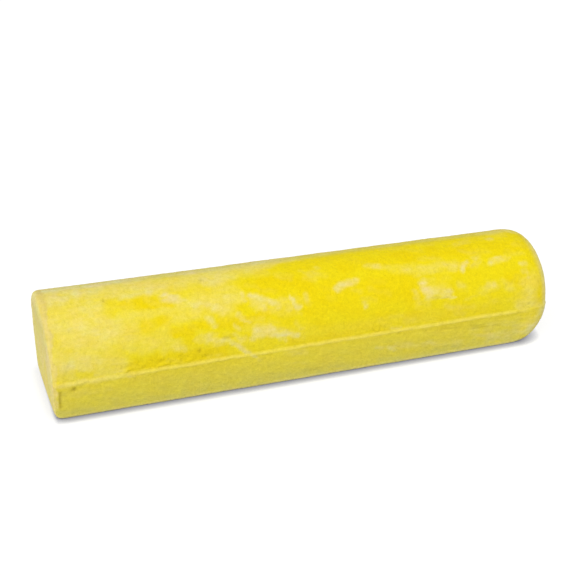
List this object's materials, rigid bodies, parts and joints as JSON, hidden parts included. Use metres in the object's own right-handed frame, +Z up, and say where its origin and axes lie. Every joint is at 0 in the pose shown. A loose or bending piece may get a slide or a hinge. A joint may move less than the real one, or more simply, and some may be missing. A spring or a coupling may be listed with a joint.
{
  "type": "detailing clay bar",
  "caption": "Loaf-shaped bar of soft yellow detailing clay: flat base, low upright sides, domed top, one end moulded to a rounded nose and the other cut square.",
  "frame": {"origin": "centre of the bar's length and width, on the flat base that it rests on", "axes": "+X along the bar from the cut end to the rounded nose, +Y across it, +Z up through the crest of the dome"},
  "size_m": [0.16, 0.034, 0.032],
  "materials": {
    "clay": "matte"
  },
  "bodies": {
    "root": {"clay_bar": "clay"}
  },
  "joints": []
}
